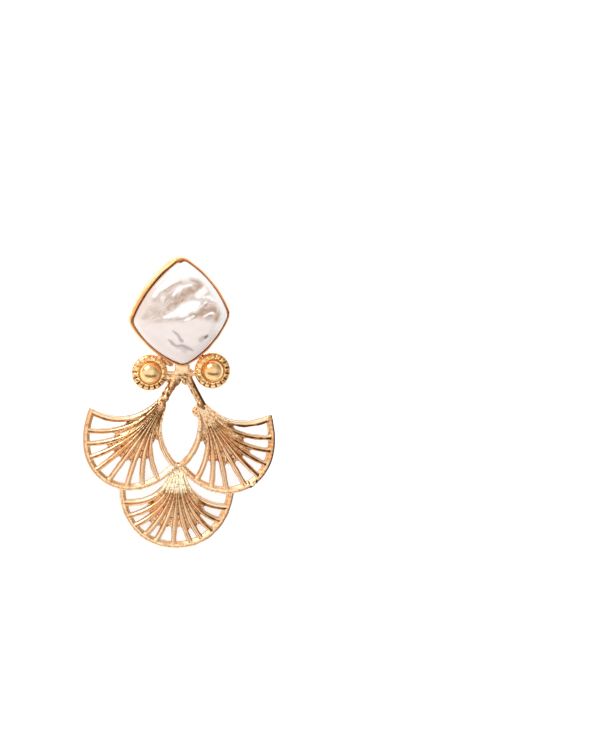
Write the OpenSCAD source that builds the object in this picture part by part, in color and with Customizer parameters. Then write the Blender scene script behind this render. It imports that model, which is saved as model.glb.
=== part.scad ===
// Fan earring: a shell pearl in a thin wavy cup, two domed buttons under it, and three
// pierced cast fans that hang from two stems. The cast and soldered metal is one solid.
// Everything is drawn in the face frame: x to the right, y up the earring, z out of the
// face, with the origin where the two side fans cross. lie_down() then lays the finished
// earring on its back, propped on the tip of its ear post and the edge of its tail fan.

/* [Cup and pearl] */
// Width of the cup across its side corners
cup_w = 20.2; // [17:0.1:24]
// Length of the cup between its top and bottom corners
cup_l = 21.9; // [19:0.1:26]
// Radius of the cup's rounded corners
cup_corner = 2.7; // [2:0.1:4]
// How far each side of the cup bows outwards
side_bow = 0.85; // [0.4:0.05:1.4]
// How far the side corners sit below the middle of the cup
cup_drop = 1.0; // [0:0.1:2]
// How far the top and bottom corners sit right of its middle
cup_shift = 0.4; // [0:0.1:1]
// How far the right corner sits over the middle of the two side corners
cup_skew = 0.25; // [0:0.05:0.5]
// Thickness of the cup's wall
cup_wall = 0.45; // [0.35:0.05:0.8]
// Height of the cup's wall over its back
cup_h = 3.1; // [2.4:0.1:4]
// Thickness of the cup's back plate
cup_floor = 0.7; // [0.5:0.05:1.2]
// How far the hand-bent rim rises and falls
rim_wave = 0.14; // [0:0.02:0.3]
// Air between the pearl and the cup
pearl_gap = 0.12; // [0.05:0.01:0.3]
// Extra air at the cup's top corner, over the pearl
top_gap = 0.75; // [0.1:0.05:1]
// Height of the pearl
pearl_h = 3.5; // [2.6:0.1:5]

/* [Buttons] */
// Radius of a button's fluted flange
button_r = 3.6; // [3:0.1:4.2]
// Radius of the smooth dome in the middle of a button
dome_r = 2.15; // [1.6:0.05:2.6]
// Height of a button from its back to the top of its dome
button_h = 3.2; // [2.4:0.1:4]
// Depth of the slits between the flutes
slit_depth = 0.32; // [0.1:0.02:0.5]
// Number of flutes round a button
flutes = 16; // [10:1:20]
// Where the left button meets the cup, in degrees below the horizontal
left_angle = 55.5; // [50:0.5:58]
// Where the right button meets the cup, in degrees below the horizontal
right_angle = 53; // [49:0.5:57]
// Open gap between a button and the cup, bridged by solder
button_gap = 0.25; // [0.1:0.05:0.5]

/* [Fans] */
// Half width of a side fan across its ribs
side_half_w = 11.1; // [9.5:0.1:12.5]
// Half width of the tail fan across its ribs
tail_half_w = 11.6; // [10:0.1:12.8]
// Half length of the stretched ring that a side fan's rim follows
side_ring = 15.3; // [13:0.1:17]
// Half length of the stretched ring that the tail fan's rim follows
tail_ring = 12.95; // [11:0.05:15]
// Fullness of those rings: 2 gives an ellipse, more fills out its shoulders
ring_power = 2.12; // [2:0.02:2.4]
// Distance from a fan's root to the centre of its ring
ring_offset = 3.87; // [3:0.1:5]
// How far a side fan's ring sits outwards of its middle line
side_shift = 1.15; // [0.6:0.05:1.6]
// Slope of a side fan's middle line below the horizontal, in degrees
side_slope = 62; // [57:1:67]
// Distance between the inner ends of the two side fans
crossing_gap = 1.4; // [1:0.1:1.8]
// Width of a rib at the rim
rib_w = 1.05; // [0.8:0.05:1.2]
// Width of a rib at its root
rib_root_w = 0.55; // [0.4:0.05:0.8]
// Width of the first and the last rib at the rim
edge_rib_w = 1.25; // [1:0.05:1.5]
// Width of the rim band
rim_w = 1.4; // [1.1:0.05:1.8]
// Thickness of the rim band
rim_t = 1.2; // [0.9:0.05:1.8]
// Thickness of the ribs at their roots
ridge_t = 1.75; // [1.3:0.05:2.4]
// Thickness of the web between the ribs
web_t = 0.8; // [0.5:0.05:1.1]
// Spread of the rib roots across a fan's middle line
root_spread = 2.0; // [1.4:0.1:2.6]
// How far the side fans lie in front of the tail fan
lap = 0.7; // [0.4:0.05:1]
// How far a side fan's rim runs on past its first rib, in degrees
side_overrun = 2; // [1:0.5:4]
// How far the tail fan's rim runs on under the side fans, in degrees
tail_overrun = 14; // [12:0.5:20]

/* [Neck and stems] */
// Width of the neck block under the cup
neck_w = 2.8; // [2:0.1:3.6]
// Thickness of the neck block
neck_t = 1.5; // [1:0.1:2]
// Height of the middle of the neck over the roots of the side fans
neck_rise = 7.0; // [6:0.1:8]
// Height of the cup's bottom corner over the middle of the neck
cup_rise = 0.95; // [0.8:0.05:1.4]
// How far the neck runs in under the cup
neck_lap = 0.95; // [0.6:0.05:1.4]
// Diameter of a stem
stem_d = 1.15; // [0.9:0.05:1.5]
// How far outside its fan's root a stem lands
stem_spread = 0.3; // [0:0.05:0.6]
// Radius of the knot where a stem meets its fan
knot_r = 1.0; // [0.7:0.05:1.3]
// Radius of a solder bead
solder_r = 0.6; // [0.45:0.05:0.75]
// Lean of the cup and buttons against the fans, in degrees
head_lean = 4.5; // [0:0.5:6]

/* [Ear post] */
// How far right of the cup's middle the post stands, which levels the earring
post_shift = 0.5; // [0:0.05:1]
// Diameter of the post
post_d = 0.9; // [0.7:0.05:1.1]
// Length of the post behind the cup
post_l = 11; // [9:0.5:12]
// Diameter of the disc that the post stands on
pad_d = 4; // [3:0.5:6]
// Thickness of that disc
pad_t = 0.5; // [0.3:0.1:0.8]

/* [Hidden] */

// Rows of a fan table: the turn round the rim's ring in degrees, the sideways bend of the
// rib as a share of its length, and how far the web runs on to the next rib as a share
SWING = 0;
BEND = 1;
WEB = 2;
SIDE_RIBS = [
    [ 74, -0.37, 0.46],
    [ 58, -0.29, 0.63],
    [ 46, -0.28, 0.74],
    [ 32, -0.18, 0.69],
    [ 17, -0.09, 0.68],
    [  0, -0.01, 0.67],
    [-20,  0.09, 0.63],
    [-36,  0.16, 0.67],
    [-52,  0.29, 0.46],
    [-70,  0.32, 0]
];
TAIL_RIBS = [
    [ 71, -0.43, 0.62],
    [ 56, -0.36, 0.71],
    [ 43, -0.26, 0.79],
    [ 29, -0.18, 0.79],
    [ 17, -0.14, 0.74],
    [  0,  0.00, 0.74],
    [-18,  0.14, 0.77],
    [-31,  0.20, 0.79],
    [-46,  0.31, 0.71],
    [-58,  0.37, 0.60],
    [-72,  0.45, 0]
];

// Rows of a cast section: across it as a share of its width, and up it as a share of its
// thickness. The rim's inside is on the plus side: its outer half has the full height and a
// lower ledge runs inside it
ACROSS = 0;
UP = 1;
RIM = [[0.5, 0], [0.5, 0.62], [0.08, 0.68], [-0.02, 1], [-0.38, 1], [-0.5, 0.8], [-0.5, 0]];
// A rib has upright sides up to its shoulders and a crest with this half width as a share
function rib_rows(crest) = [[0.5, 0], [0.5, 0.7], [crest, 1], [-crest, 1], [-0.5, 0.7], [-0.5, 0]];
ROOT_CREST = 0.04;
RIM_CREST = 0.26;

// Rows of a button's profile: the reach as a share of button_r, with the dome's own radius
// from the foot of the dome on, the height as a share of button_h, and the share of
// slit_depth cut there
REACH = 0;
RISE = 1;
SLIT = 2;
DOME_SHARE = dome_r / button_r;
BUTTON = [
    [0.80, 0.00, 0],
    [0.97, 0.10, 0.4],
    [1.00, 0.24, 1],
    [0.90, 0.38, 1],
    [DOME_SHARE + 0.12, 0.44, 0.5],
    [DOME_SHARE, 0.42, 0],
    [DOME_SHARE * 0.97, 0.62, 0],
    [DOME_SHARE * 0.78, 0.84, 0],
    [DOME_SHARE * 0.42, 0.97, 0]
];
POINTS_PER_FLUTE = 2;

// Rows of the pearl's profile: how far the outline draws in towards the middle, as a share
// of the pearl's size, and the height as a share of pearl_h
DRAW_IN = 0;
LIFT = 1;
PEARL = [
    [0.02, 0.00],
    [0.00, 0.08],
    [0.00, 0.50],
    [0.03, 0.68],
    [0.10, 0.83],
    [0.22, 0.92],
    [0.45, 0.97],
    [0.75, 1.00]
];

// Rows of the waves in the cup's hand-bent rim: how many run round it, the turn of the
// first in degrees, and its share of rim_wave
WAVES = 0;
TURN = 1;
SHARE = 2;
RIM_WAVES = [[3, 40, 0.67], [5, 0, 0.33]];

RIB_STEPS = 6;
WEB_STEPS = 4;
RIM_STEPS = 25;
CUP_STEP = 6;
STEM_STEPS = 6;
STEM_SIDES = 10;
KNOT_SIDES = 12;
// Backs of the side fans, the cup, the neck and the buttons over the tail fan's back
SIDE_BACK = lap;
CUP_BACK = 0.5;
NECK_BACK = 0.6;
BUTTON_BACK = 0.9;
// The ribs' crests stand this much over the rim's, so that they share no face
RIB_PROUD = 0.05;
// The crossing knot is this much wider than the fan edges that it fuses, and stands this much
// over the tail fan's crests
CROSSING_WIDER = 0.2;
CROSSING_PROUD = 0.2;
// Share of its length over which a rib grows to its full width
RIB_GROWTH = 0.7;
// Sideways bend of a stem as a share of its length, and lift of its knot
STEM_BEND = 0.03;
KNOT_LIFT = 0.2;
// Width and thickness of the neck's lower end as shares of the neck's
NECK_END = 0.6;
NECK_THIN = 0.8;
// Height of the solder over a button's back as a share of button_h
SOLDER_RISE = 0.2;

function lerp(a, b, t) = a + (b - a) * t;
function dir(a) = [cos(a), sin(a)];
function turned(p, a) = [p.x * cos(a) - p.y * sin(a), p.x * sin(a) + p.y * cos(a)];
function unit(v) = v / norm(v);
function across(v) = [-v.y, v.x];
function curve(a, b, c, t) = (1 - t) * (1 - t) * a + 2 * t * (1 - t) * b + t * t * c;
function slope(a, b, c, t) = unit((1 - t) * (b - a) + t * (c - b));

// A fan's rim follows a full ring: the two half lengths of the ring and its sideways shift
RING = 0;
HALF_W = 1;
SHIFT = 2;
SIDE_PLAN = [side_ring, side_half_w, side_shift];
TAIL_PLAN = [tail_ring, tail_half_w, 0];
function raised(x, power) = sign(x) * pow(abs(x), power);
function ring_point(plan, inset, a) =
    [ring_offset + (plan[RING] - inset) * raised(cos(a), 2 / ring_power),
     plan[SHIFT] + (plan[HALF_W] - inset) * raised(sin(a), 2 / ring_power)];
function ring_way(plan, inset, a) =
    across(unit([raised(cos(a), 2 - 2 / ring_power) / (plan[RING] - inset),
                 raised(sin(a), 2 - 2 / ring_power) / (plan[HALF_W] - inset)]));

// The side fan's place follows from its own rim: its inner rim end is beside the crossing
SIDE_END = ring_point(SIDE_PLAN, rim_w / 2, SIDE_RIBS[len(SIDE_RIBS) - 1][SWING]);
SIDE_ROOT = [crossing_gap / 2, 0] - turned(SIDE_END, -side_slope);

// Outline of the cup: four bowed sides between four round corners. The core is the
// diamond that the corner circles' centres make, and a is the direction the wall faces, from
// 0 to 360 degrees. A side runs from its own corner to the next one, counter-clockwise
CORE = [cup_w / 2 - cup_corner, cup_l / 2 - cup_corner];
CORNERS = [
    [CORE.x, cup_skew - cup_drop],
    [cup_shift, CORE.y],
    [-CORE.x, -cup_skew - cup_drop],
    [cup_shift, -CORE.y]
];
BOTTOM = CORNERS[3];
SIDES = [0:3];
QUARTER = 90;
function next_corner(i) = CORNERS[(i + 1) % len(CORNERS)];
function facing(v) = (atan2(v.y, v.x) + 360) % 360;
BOW_R = [for (i = SIDES) let (half = norm(next_corner(i) - CORNERS[i]) / 2)
    (half * half + side_bow * side_bow) / (2 * side_bow)];
BOW_CENTRE = [for (i = SIDES) let (p = CORNERS[i], q = next_corner(i))
    (p + q) / 2 + across(unit(p - q)) * (side_bow - BOW_R[i])];
BOW_FROM = [for (i = SIDES) facing(CORNERS[i] - BOW_CENTRE[i])];
BOW_TO = [for (i = SIDES) facing(next_corner(i) - BOW_CENTRE[i])];
function core_point(a) =
    let (i = floor(a / QUARTER), b = max(BOW_FROM[i], min(BOW_TO[i], a))) BOW_CENTRE[i] + BOW_R[i] * dir(b);
function cup_point(a, inset) = core_point(a) + (cup_corner - inset) * dir(a);
function rim_rise(a) =
    [for (w = RIM_WAVES) w[SHARE]] * [for (w = RIM_WAVES) sin(w[WAVES] * a + w[TURN])];
function cup_top(a) = CUP_BACK + cup_h + rim_wave * rim_rise(a);

// Outline of the pearl: the cup's, drawn in for the wall and the air, and shrunk towards the
// cup's bottom corner for the extra air at the top
PEARL_SHRINK = 1 - top_gap / (2 * CORE.y);
PEARL_CORNER = cup_corner - cup_wall - pearl_gap;
function pearl_point(a, drawn_in) =
    let (p = BOTTOM + PEARL_SHRINK * (core_point(a) - BOTTOM)) (p + PEARL_CORNER * dir(a)) * (1 - drawn_in);

// The head is the cup, the neck and the buttons. Its frame starts between the fan roots, and
// the neck stands under the cup's bottom corner. A button's side is -1 on the left, 1 on the
// right, and it stands off the cup in the direction the wall faces there
CUP_Y = neck_rise + cup_rise + cup_l / 2;
function button_way(side) = side < 0 ? 180 + left_angle : 360 - right_angle;
function button_at(side) =
    core_point(button_way(side)) + (cup_corner + button_gap + button_r) * dir(button_way(side));

// How the earring lies: the post's round tip and the tail fan's edge touch the ground
TAIL_Y = -(ring_offset + tail_ring);
POST_XY = [0, SIDE_ROOT.y] + turned([post_shift, CUP_Y], head_lean);
TIP_DROP = post_l - post_d / 2 - CUP_BACK;
TIP_REACH = POST_XY.y - TAIL_Y;
PITCH = atan2(TIP_DROP, TIP_REACH) + asin(post_d / 2 / norm([TIP_DROP, TIP_REACH]));
HEAD_TOP = SIDE_ROOT.y + turned([cup_shift, CUP_Y + CORE.y], head_lean).y + cup_corner;
LIFT_Z = -TAIL_Y * sin(PITCH);
MIDDLE_Y = (HEAD_TOP * cos(PITCH) - CUP_BACK * sin(PITCH) + TAIL_Y * cos(PITCH) - rim_t * sin(PITCH)) / 2;

module lie_down() {
    translate([0, -MIDDLE_Y, LIFT_Z]) rotate([PITCH, 0, 0]) children();
}

module head() {
    translate([0, SIDE_ROOT.y, 0]) rotate(head_lean) children();
}

// Skin over equal rings of points, which turn counter-clockwise about the way the rings
// follow each other, with a cap at each end or closed into a loop
module skin(rings, closed = false) {
    n = len(rings[0]);
    m = len(rings);
    sides = [for (i = [0:closed ? m - 1 : m - 2], j = [0:n - 1])
        let (near = i * n, far = ((i + 1) % m) * n, next = (j + 1) % n)
        [near + j, far + j, far + next, near + next]];
    caps = closed ? [] : [[for (j = [0:n - 1]) j], [for (j = [n - 1:-1:0]) (m - 1) * n + j]];
    polyhedron([for (r = rings) each r], concat(sides, caps), convexity = 8);
}

// One ring: the section's points, across the path and up from z, set at p facing along d
function ring_at(p, d, z, section) =
    [for (s = section) [p.x + across(d).x * s.x, p.y + across(d).y * s.x, z + s.y]];

function section(rows, w, t) = [for (r = rows) [w * r[ACROSS], t * r[UP]]];

function root_point(i, count) = [0, root_spread * (0.5 - i / (count - 1))];
function rib_end(row, plan) = ring_point(plan, rim_w / 2, row[SWING]);
function rib_mid(root, tip, bend) = (root + tip) / 2 + across(tip - root) * bend;

module fan_rib(root, tip, bend, end_w) {
    mid = rib_mid(root, tip, bend);
    skin([for (k = [0:RIB_STEPS]) let (t = k / RIB_STEPS)
        ring_at(curve(root, mid, tip, t), slope(root, mid, tip, t), 0,
            section(rib_rows(lerp(ROOT_CREST, RIM_CREST, t)),
                lerp(rib_root_w, end_w, min(1, t / RIB_GROWTH)),
                lerp(ridge_t, rim_t + RIB_PROUD, t)))]);
}

module fan_rim(ribs, plan, overrun) {
    from = ribs[len(ribs) - 1][SWING] - overrun;
    to = ribs[0][SWING] + overrun;
    skin([for (k = [0:RIM_STEPS]) let (a = lerp(from, to, k / RIM_STEPS))
        ring_at(ring_point(plan, rim_w / 2, a), ring_way(plan, rim_w / 2, a), 0,
            section(RIM, rim_w, rim_t))]);
}

// The web fills the wedges between the ribs from their roots out to the pierced gaps. Its
// outline runs out along the first rib, steps from rib to rib at each gap's inner end, and
// comes back along the last one
module fan_web(ribs, plan) {
    n = len(ribs);
    roots = [for (i = [0:n - 1]) root_point(i, n)];
    tips = [for (row = ribs) rib_end(row, plan)];
    mids = [for (i = [0:n - 1]) rib_mid(roots[i], tips[i], ribs[i][BEND])];
    first = [for (k = [0:WEB_STEPS - 1]) curve(roots[0], mids[0], tips[0], ribs[0][WEB] * k / WEB_STEPS)];
    steps = [for (i = [0:n - 2], j = [i, i + 1]) curve(roots[j], mids[j], tips[j], ribs[i][WEB])];
    last = [for (k = [WEB_STEPS - 1:-1:0])
        curve(roots[n - 1], mids[n - 1], tips[n - 1], ribs[n - 2][WEB] * k / WEB_STEPS)];
    linear_extrude(web_t) polygon(concat(first, steps, last));
}

module fan(ribs, plan, overrun) {
    n = len(ribs);
    fan_rim(ribs, plan, overrun);
    fan_web(ribs, plan);
    for (i = [0:n - 1])
        fan_rib(root_point(i, n), rib_end(ribs[i], plan), ribs[i][BEND],
            i == 0 || i == n - 1 ? edge_rib_w : rib_w);
}

module side_fan() {
    translate([SIDE_ROOT.x, SIDE_ROOT.y, SIDE_BACK]) rotate(-side_slope)
        fan(SIDE_RIBS, SIDE_PLAN, side_overrun);
}

module tail_fan() {
    rotate(-90) fan(TAIL_RIBS, TAIL_PLAN, tail_overrun);
}

// The knot that fuses the two inner fan edges with the root of the tail fan
module crossing() {
    hull() {
        for (side = [-1, 1])
            translate([side * crossing_gap / 2, 0, 0])
                cylinder(d = edge_rib_w + CROSSING_WIDER, h = lap + rim_t, $fn = 22);
        translate([0, -root_spread / 2, 0])
            cylinder(d = root_spread, h = ridge_t + CROSSING_PROUD, $fn = 16);
    }
}

// A stem is a round bar, swept from its fan's root up to a lower corner of the neck
module stem(side) {
    foot = [side * (SIDE_ROOT.x + stem_spread), SIDE_ROOT.y];
    corner = [cup_shift + side * (neck_w - stem_d) / 2, neck_rise - neck_w / 4];
    top = [0, SIDE_ROOT.y] + turned(corner, head_lean);
    mid = rib_mid(foot, top, side * STEM_BEND);
    bar = [for (j = [0:STEM_SIDES - 1]) stem_d / 2 * dir(360 * j / STEM_SIDES)];
    skin([for (k = [0:STEM_STEPS]) let (t = k / STEM_STEPS)
        ring_at(curve(foot, mid, top, t), slope(foot, mid, top, t), SIDE_BACK + stem_d / 2, bar)]);
    translate([side * SIDE_ROOT.x, SIDE_ROOT.y, SIDE_BACK + stem_d / 2 + KNOT_LIFT])
        sphere(knot_r, $fn = KNOT_SIDES);
}

module neck() {
    head() translate([cup_shift, neck_rise, NECK_BACK]) hull() {
        translate([-neck_w / 2, 0, 0]) cube([neck_w, cup_rise + neck_lap, neck_t]);
        translate([0, -neck_w / 2, 0]) cylinder(d = neck_w * NECK_END, h = neck_t * NECK_THIN, $fn = 16);
    }
}

// The cup's skin runs up its outer side, over the rim and down inside to the back plate
module cup() {
    angles = [0:CUP_STEP:359];
    head() translate([0, CUP_Y, 0]) skin([
        [for (a = angles) let (p = cup_point(a, 0)) [p.x, p.y, CUP_BACK]],
        [for (a = angles) let (p = cup_point(a, 0)) [p.x, p.y, cup_top(a)]],
        [for (a = angles) let (p = cup_point(a, cup_wall)) [p.x, p.y, cup_top(a)]],
        [for (a = angles) let (p = cup_point(a, cup_wall)) [p.x, p.y, CUP_BACK + cup_floor]]
    ]);
}

module button() {
    count = flutes * POINTS_PER_FLUTE;
    rings = [for (row = BUTTON) [for (j = [0:count - 1])
        let (a = 360 * j / count, cut = j % POINTS_PER_FLUTE == 0 ? slit_depth * row[SLIT] : 0,
             r = button_r * row[REACH] - cut * 0.5)
        [r * cos(a), r * sin(a), button_h * row[RISE] - cut]]];
    skin(rings);
}

module buttons() {
    head() translate([0, CUP_Y, BUTTON_BACK]) for (side = [-1, 1])
        translate(button_at(side)) button();
}

// Solder joins a button to the cup and to the neck
module solder(side) {
    at = [0, CUP_Y] + button_at(side);
    on_neck = [cup_shift + side * (neck_w / 2 - solder_r / 2), neck_rise - neck_w / 4];
    to_cup = -dir(button_way(side));
    to_neck = unit(on_neck - at);
    on_cup = at + (button_r + button_gap + cup_wall / 2) * to_cup;
    for (end = [[on_cup, to_cup], [on_neck, to_neck]])
        head() hull() for (p = [end[0], at + (button_r - solder_r) * end[1]])
            translate([p.x, p.y, BUTTON_BACK + button_h * SOLDER_RISE]) sphere(solder_r, $fn = 10);
}

module metal_frame() {
    color("goldenrod") lie_down() {
        tail_fan();
        side_fan();
        mirror([1, 0, 0]) side_fan();
        crossing();
        stem(-1);
        stem(1);
        neck();
        cup();
        buttons();
        solder(-1);
        solder(1);
    }
}

// The pearl sits low in the cup, clear of it all round, with most room at the top
module pearl() {
    color("seashell") lie_down() head() translate([0, CUP_Y, CUP_BACK + cup_floor + pearl_gap / 2])
        skin([for (row = PEARL) [for (a = [0:CUP_STEP:359])
            let (p = pearl_point(a, row[DRAW_IN])) [p.x, p.y, row[LIFT] * pearl_h]]]);
}

// The post stands on a disc on the cup's back, and its free end is round
module ear_post() {
    color("gold") lie_down() head() translate([post_shift, CUP_Y, CUP_BACK]) mirror([0, 0, 1]) {
        cylinder(d = pad_d, h = pad_t, $fn = 48);
        cylinder(d = post_d, h = post_l - post_d / 2, $fn = 48);
        translate([0, 0, post_l - post_d / 2]) sphere(d = post_d, $fn = 48);
    }
}

metal_frame();
pearl();
ear_post();
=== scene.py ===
"""Fan earring: a shell pearl in a thin hand-bent cup, two polished buttons under it, and three
pierced cast fans that hang from two hammered stems.

Shapes are worked out in millimetres in the face frame: x to the right, y up the earring, z out
of the face, with the origin where the two side fans cross. lying() then turns them to the row
frame in metres, where the earring rests on its back."""
import math

import bpy
import numpy as np
from mathutils import Matrix, Vector


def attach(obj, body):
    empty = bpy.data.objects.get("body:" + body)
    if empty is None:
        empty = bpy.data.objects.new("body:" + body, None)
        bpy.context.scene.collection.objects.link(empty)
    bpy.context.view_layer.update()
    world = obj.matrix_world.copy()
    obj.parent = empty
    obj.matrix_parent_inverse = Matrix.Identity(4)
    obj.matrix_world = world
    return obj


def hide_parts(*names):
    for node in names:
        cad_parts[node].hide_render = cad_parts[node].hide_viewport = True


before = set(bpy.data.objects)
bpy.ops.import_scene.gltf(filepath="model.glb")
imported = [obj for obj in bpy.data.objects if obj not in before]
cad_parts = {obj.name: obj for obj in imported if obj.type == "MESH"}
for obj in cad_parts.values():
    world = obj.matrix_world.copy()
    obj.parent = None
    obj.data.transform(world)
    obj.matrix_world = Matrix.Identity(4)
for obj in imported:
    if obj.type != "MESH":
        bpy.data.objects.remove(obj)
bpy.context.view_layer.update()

MM = 0.001

# Driving sizes of the real earring, in millimetres and degrees
CUP_W, CUP_L, CUP_CORNER, SIDE_BOW = 20.2, 21.9, 2.7, 0.85
CUP_DROP, CUP_SHIFT, CUP_SKEW = 1.0, 0.4, 0.25
CUP_WALL, CUP_H, CUP_FLOOR, RIM_WAVE = 0.45, 3.1, 0.7, 0.14
PEARL_GAP, TOP_GAP, PEARL_H = 0.12, 0.75, 3.5
BUTTON_R, DOME_R, BUTTON_H, FLUTES = 3.6, 2.15, 3.2, 16
LEFT_ANGLE, RIGHT_ANGLE, BUTTON_GAP = 55.5, 53, 0.25
SIDE_HALF_W, TAIL_HALF_W, SIDE_RING, TAIL_RING, RING_POWER = 11.1, 11.6, 15.3, 12.95, 2.12
RING_OFFSET, SIDE_SHIFT = 3.87, 1.15
SIDE_SLOPE, CROSSING_GAP, ROOT_SPREAD, LAP = 62, 1.4, 2.0, 0.7
RIB_W, RIB_ROOT_W, EDGE_RIB_W, RIM_W, RIM_T, RIDGE_T = 1.05, 0.55, 1.25, 1.4, 1.2, 1.75
SIDE_OVERRUN, TAIL_OVERRUN = 2, 14
NECK_W, NECK_T, NECK_RISE, CUP_RISE = 2.8, 1.5, 7.0, 0.95
STEM_D, STEM_SPREAD, KNOT_R, SOLDER_R, HEAD_LEAN = 1.15, 0.3, 1.0, 0.6, 4.5
POST_L, POST_D, POST_SHIFT = 11, 0.9, 0.5
CUP_BACK, NECK_BACK, BUTTON_BACK, KNOT_LIFT, STEM_BEND = 0.5, 0.6, 0.9, 0.2, 0.03
RIM_WAVES = [[3, 40, 0.67], [5, 0, 0.33]]

# Rows of a fan: the turn round the rim's ring, the rib's sideways bend as a share of its
# length, and how far the middle of the web to the next rib runs as a share
SWING, BEND, WEB = 0, 1, 2
SIDE_RIBS = np.array([
    [74, -0.37, 0.40], [58, -0.29, 0.63], [46, -0.28, 0.74], [32, -0.18, 0.69], [17, -0.09, 0.68],
    [0, -0.01, 0.67], [-20, 0.09, 0.63], [-36, 0.16, 0.67], [-52, 0.29, 0.40], [-70, 0.32, 0]])
TAIL_RIBS = np.array([
    [71, -0.43, 0.62], [56, -0.36, 0.71], [43, -0.26, 0.79], [29, -0.18, 0.79], [17, -0.14, 0.74],
    [0, 0, 0.74], [-18, 0.14, 0.77], [-31, 0.20, 0.79], [-46, 0.31, 0.71], [-58, 0.37, 0.60],
    [-72, 0.45, 0]])


def heading(degrees):
    """Unit vectors at these turns from the x axis, one row each."""
    a = np.radians(degrees)
    return np.stack([np.cos(a), np.sin(a)], -1)


def turned(p, degrees):
    """Points p turned counter-clockwise round the origin."""
    c, s = math.cos(math.radians(degrees)), math.sin(math.radians(degrees))
    p = np.asarray(p, float)
    return np.stack([p[..., 0] * c - p[..., 1] * s, p[..., 0] * s + p[..., 1] * c], -1)


def unit(v):
    """v at length 1."""
    return v / np.linalg.norm(v, axis=-1, keepdims=True)


def across(v):
    """v turned a quarter to the left."""
    return np.stack([-v[..., 1], v[..., 0]], -1)


def mix(a, b, t):
    """From a to b in a straight line, as t goes from 0 to 1."""
    return a + (b - a) * t


def smooth(t):
    """Eases from 0 to 1 with a level start and end."""
    t = np.clip(t, 0, 1)
    return t * t * (3 - 2 * t)


def bump(x, middle, half_width):
    """A smooth hump, 1 at the middle and 0 from half_width on."""
    return smooth(1 - np.abs(x - middle) / half_width)


def bezier(a, b, c, t):
    """The curve from a to c drawn towards b: (1-t)^2 a + 2t(1-t) b + t^2 c."""
    return (1 - t) ** 2 * a + 2 * t * (1 - t) * b + t ** 2 * c


def bezier_way(a, b, c, t):
    """Unit vectors along that curve."""
    return unit((1 - t) * (b - a) + t * (c - b))


def ripple(x, y, length, seed, waves=9):
    """Soft random relief between about -1 and 1: a sum of plane waves of nearly this length, each
    with its own seeded heading, phase and slight stretch."""
    rng = np.random.default_rng(seed)
    total = np.zeros(np.broadcast(x, y).shape)
    for _ in range(waves):
        turn, phase = rng.uniform(0, 2 * math.pi, 2)
        k = 2 * math.pi / (length * rng.uniform(0.65, 1.5))
        total += np.sin(k * (x * math.cos(turn) + y * math.sin(turn)) + phase)
    return total / math.sqrt(waves * 0.5) / 1.6


# Places that follow from the sizes. A plan holds a fan ring's two half lengths and its shift
SIDE_PLAN, TAIL_PLAN = (SIDE_RING, SIDE_HALF_W, SIDE_SHIFT), (TAIL_RING, TAIL_HALF_W, 0)


def raised(x, power):
    """x to this power, with its sign kept."""
    return np.sign(x) * np.abs(x) ** power


def ring_point(plan, inset, swing):
    """Full ring of a fan's rim, |x|^p + |y|^p = 1 on its half lengths less the inset."""
    a = np.radians(swing)
    ring, half_w, shift = plan
    return np.stack([RING_OFFSET + (ring - inset) * raised(np.cos(a), 2 / RING_POWER),
                     shift + (half_w - inset) * raised(np.sin(a), 2 / RING_POWER)], -1)


SIDE_END = ring_point(SIDE_PLAN, RIM_W / 2, SIDE_RIBS[-1, SWING])
SIDE_ROOT = np.array([CROSSING_GAP / 2, 0]) - turned(SIDE_END, -SIDE_SLOPE)
CORE = np.array([CUP_W / 2 - CUP_CORNER, CUP_L / 2 - CUP_CORNER])
CORNERS = np.array([[CORE[0], CUP_SKEW - CUP_DROP], [CUP_SHIFT, CORE[1]],
                    [-CORE[0], -CUP_SKEW - CUP_DROP], [CUP_SHIFT, -CORE[1]]])
NEXT_CORNERS = np.roll(CORNERS, -1, 0)
BOTTOM = CORNERS[3]
HALF_CHORD = np.linalg.norm(NEXT_CORNERS - CORNERS, axis=1) / 2
BOW_R = (HALF_CHORD ** 2 + SIDE_BOW ** 2) / (2 * SIDE_BOW)
BOW_CENTRE = ((CORNERS + NEXT_CORNERS) / 2
              + across(unit(CORNERS - NEXT_CORNERS)) * (SIDE_BOW - BOW_R)[:, None])
BOW_FROM = np.degrees(np.arctan2(*(CORNERS - BOW_CENTRE).T[::-1])) % 360
BOW_TO = np.degrees(np.arctan2(*(NEXT_CORNERS - BOW_CENTRE).T[::-1])) % 360


def core_point(degrees):
    """The diamond that the centres of the cup's corner circles make, with a bowed arc along each
    side. degrees is the way the wall faces, which picks the side and its place on the arc."""
    a = np.asarray(degrees, float) % 360
    i = (a // 90).astype(int)
    return BOW_CENTRE[i] + BOW_R[i][..., None] * heading(np.clip(a, BOW_FROM[i], BOW_TO[i]))


def cup_point(degrees, inset):
    """Outline of the cup, drawn in by inset: the core pushed out by the corner radius."""
    return core_point(degrees) + (CUP_CORNER - np.asarray(inset))[..., None] * heading(degrees)


def cup_top(degrees):
    """Height of the cup's rim: its wall and the sum of the rim's slow sine waves."""
    a = np.radians(degrees)
    waves = sum(share * np.sin(count * a + math.radians(at)) for count, at, share in RIM_WAVES)
    return CUP_BACK + CUP_H + RIM_WAVE * waves


PEARL_SQUEEZE = TOP_GAP / (2 * CORE[1])
LEFT_WAY = unit(CORNERS[2] - BOTTOM)
PEARL_CORNER = CUP_CORNER - CUP_WALL - PEARL_GAP
CORNER_CUT, CUT_AT, CUT_REACH = 0.3, 97, 26


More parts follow.
